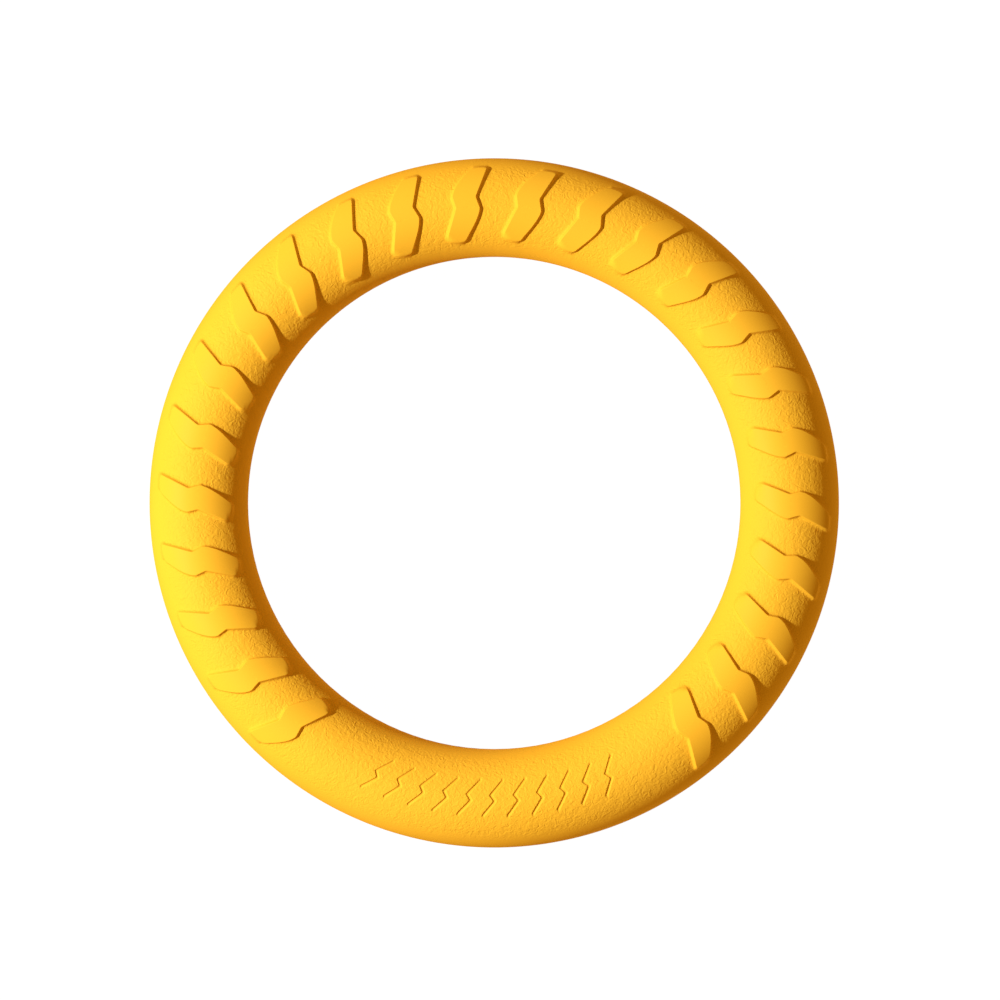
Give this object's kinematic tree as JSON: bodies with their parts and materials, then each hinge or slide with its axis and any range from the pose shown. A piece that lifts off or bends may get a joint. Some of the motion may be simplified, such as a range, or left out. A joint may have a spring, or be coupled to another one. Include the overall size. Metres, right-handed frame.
{
  "type": "foam fitness ring",
  "caption": "Thick moulded foam ring with slanted zigzag grip pads around both faces and one plain band, for throwing, catching and exercise.",
  "frame": {"origin": "centre of the ring's bounding box at its lowest face, where the grip pads touch a flat floor", "axes": "+Z along the ring's axis, out of the front face; the plain band lies towards -Y; +X to the right seen from the front"},
  "size_m": [0.28, 0.28, 0.0432],
  "materials": {
    "skin": "matte, fine leather-like grain between smooth pads",
    "core_foam": "matte closed-cell foam",
    "adhesive": "thin rubbery glue line"
  },
  "bodies": {
    "root": {"front_skin": "skin", "front_core": "core_foam", "bond_film": "adhesive", "rear_core": "core_foam", "rear_skin": "skin"}
  },
  "joints": []
}
